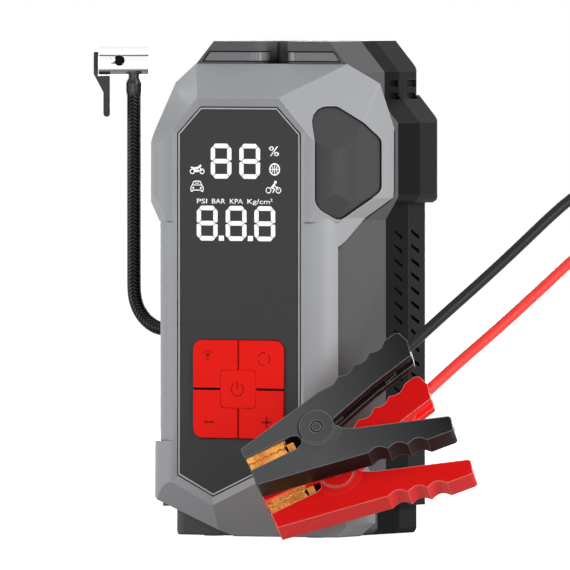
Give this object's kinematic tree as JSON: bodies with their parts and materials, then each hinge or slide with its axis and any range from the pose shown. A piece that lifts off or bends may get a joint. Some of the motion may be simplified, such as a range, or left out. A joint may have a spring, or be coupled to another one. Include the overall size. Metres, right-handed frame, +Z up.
{
  "type": "jump starter pack",
  "caption": "Portable jump starter with tyre inflator: upright casing with angled control panel, braided air hose with lever chuck, and battery clamps on cables.",
  "frame": {"origin": "middle of the base of the casing, on the floor", "axes": "+Z up, the control panel faces -Y, the air hose is on the -X side"},
  "size_m": [0.2535, 0.1971, 0.2],
  "materials": {
    "shell_silver": "matte",
    "panel_graphite": "satin",
    "casing_graphite": "matte",
    "casing_black": "matte",
    "lens_clear": "gloss",
    "rubber_black": "matte",
    "steel": "satin",
    "key_red": "satin",
    "switch_grey": "satin",
    "board_green": "satin",
    "cell_foil": "satin",
    "lead_red": "satin",
    "socket_blue": "matte",
    "copper": "satin",
    "brass": "satin",
    "cast_alloy": "matte",
    "hose_black": "matte",
    "chrome": "polished",
    "lever_grey": "satin",
    "clamp_black": "matte",
    "clamp_red": "matte"
  },
  "bodies": {
    "casing": {"front_shell": "shell_silver", "control_panel": "panel_graphite", "panel_trim": "shell_silver", "side_insert": "casing_graphite", "front_casing": "casing_graphite", "middle_casing": "casing_black", "rear_cover": "casing_black", "light_bar_left": "lens_clear", "light_bar_right": "lens_clear", "rubber_feet": "rubber_black", "casing_screws": "steel", "key_mat": "rubber_black", "key_switches": "switch_grey", "main_board": "board_green", "display_module": "switch_grey", "battery_cells": "cell_foil", "battery_tray": "casing_black", "power_leads": "lead_red", "output_socket": "socket_blue", "usb_a_port": "steel", "usb_c_port": "steel", "lamp_board": "switch_grey", "motor": "steel", "pump_cylinder": "cast_alloy", "pump_head": "cast_alloy", "compressor_frame": "cast_alloy", "outlet_pipe": "cast_alloy", "hose_outlet": "casing_black", "air_hose": "hose_black", "hose_ferrule": "hose_black", "chuck_body": "chrome", "chuck_pin": "chrome", "chuck_seal": "rubber_black", "black_lower_arm": "clamp_black", "black_lower_jaw": "copper", "black_rivet": "clamp_black", "black_spring": "steel", "red_lower_arm": "clamp_red", "red_lower_jaw": "copper", "red_rivet": "clamp_red", "red_spring": "steel", "cable_black": "rubber_black", "cable_red": "lead_red", "lead_plug": "socket_blue"},
    "key_power": {"key_power": "key_red"},
    "key_light": {"key_light": "key_red"},
    "key_mode": {"key_mode": "key_red"},
    "key_minus": {"key_minus": "key_red"},
    "key_plus": {"key_plus": "key_red"},
    "chuck_lever": {"chuck_lever": "lever_grey"},
    "motor_rotor": {"motor_rotor": "copper", "motor_fan": "casing_black", "pinion": "brass"},
    "crank_gear": {"crank_gear": "steel"},
    "piston": {"piston": "cast_alloy"},
    "black_upper": {"black_upper_arm": "clamp_black", "black_upper_jaw": "copper"},
    "red_upper": {"red_upper_arm": "clamp_red", "red_upper_jaw": "copper"}
  },
  "joints": [
    {"name": "key_power_press", "type": "slide", "parent": "casing", "child": "key_power", "axis": [0, 1, 0], "range_m": [0, 0.0005], "stiffness_N_per_m": 400},
    {"name": "key_light_press", "type": "slide", "parent": "casing", "child": "key_light", "axis": [0, 1, 0], "range_m": [0, 0.0005], "stiffness_N_per_m": 400},
    {"name": "key_mode_press", "type": "slide", "parent": "casing", "child": "key_mode", "axis": [0, 1, 0], "range_m": [0, 0.0005], "stiffness_N_per_m": 400},
    {"name": "key_minus_press", "type": "slide", "parent": "casing", "child": "key_minus", "axis": [0, 1, 0], "range_m": [0, 0.0005], "stiffness_N_per_m": 400},
    {"name": "key_plus_press", "type": "slide", "parent": "casing", "child": "key_plus", "axis": [0, 1, 0], "range_m": [0, 0.0005], "stiffness_N_per_m": 400},
    {"name": "chuck_lever_hinge", "type": "hinge", "parent": "casing", "child": "chuck_lever", "pos_m": [-0.08069, -0.01617, 0.1946], "axis": [-0.5, 0.866, 0], "range_deg": [0, 90]},
    {"name": "motor_spin", "type": "hinge", "parent": "casing", "child": "motor_rotor", "pos_m": [-0.01, 0.021, 0.058], "axis": [1, 0, 0], "continuous": true},
    {"name": "crank_spin", "type": "hinge", "parent": "casing", "child": "crank_gear", "pos_m": [0.0129, 0.021, 0.0755], "axis": [1, 0, 0], "continuous": true},
    {"name": "piston_slide", "type": "slide", "parent": "casing", "child": "piston", "axis": [0, 0, 1], "range_m": [0, 0.009]},
    {"name": "black_clamp_hinge", "type": "hinge", "parent": "casing", "child": "black_upper", "pos_m": [0.04735, -0.05741, 0.04334], "axis": [-0.3497, 0.8656, -0.3584], "range_deg": [0, 20], "stiffness_Nm_per_rad": 0.4, "springref_deg": -20.05, "deforming": ["cable_black"]},
    {"name": "red_clamp_hinge", "type": "hinge", "parent": "casing", "child": "red_upper", "pos_m": [0.04931, -0.04463, 0.02568], "axis": [-0.3497, 0.8656, -0.3584], "range_deg": [0, 20], "stiffness_Nm_per_rad": 0.4, "springref_deg": -20.05, "deforming": ["cable_red"]}
  ],
  "couplings": [
    {"joint": "crank_spin", "follows": "motor_spin", "ratio": -0.25}
  ]
}
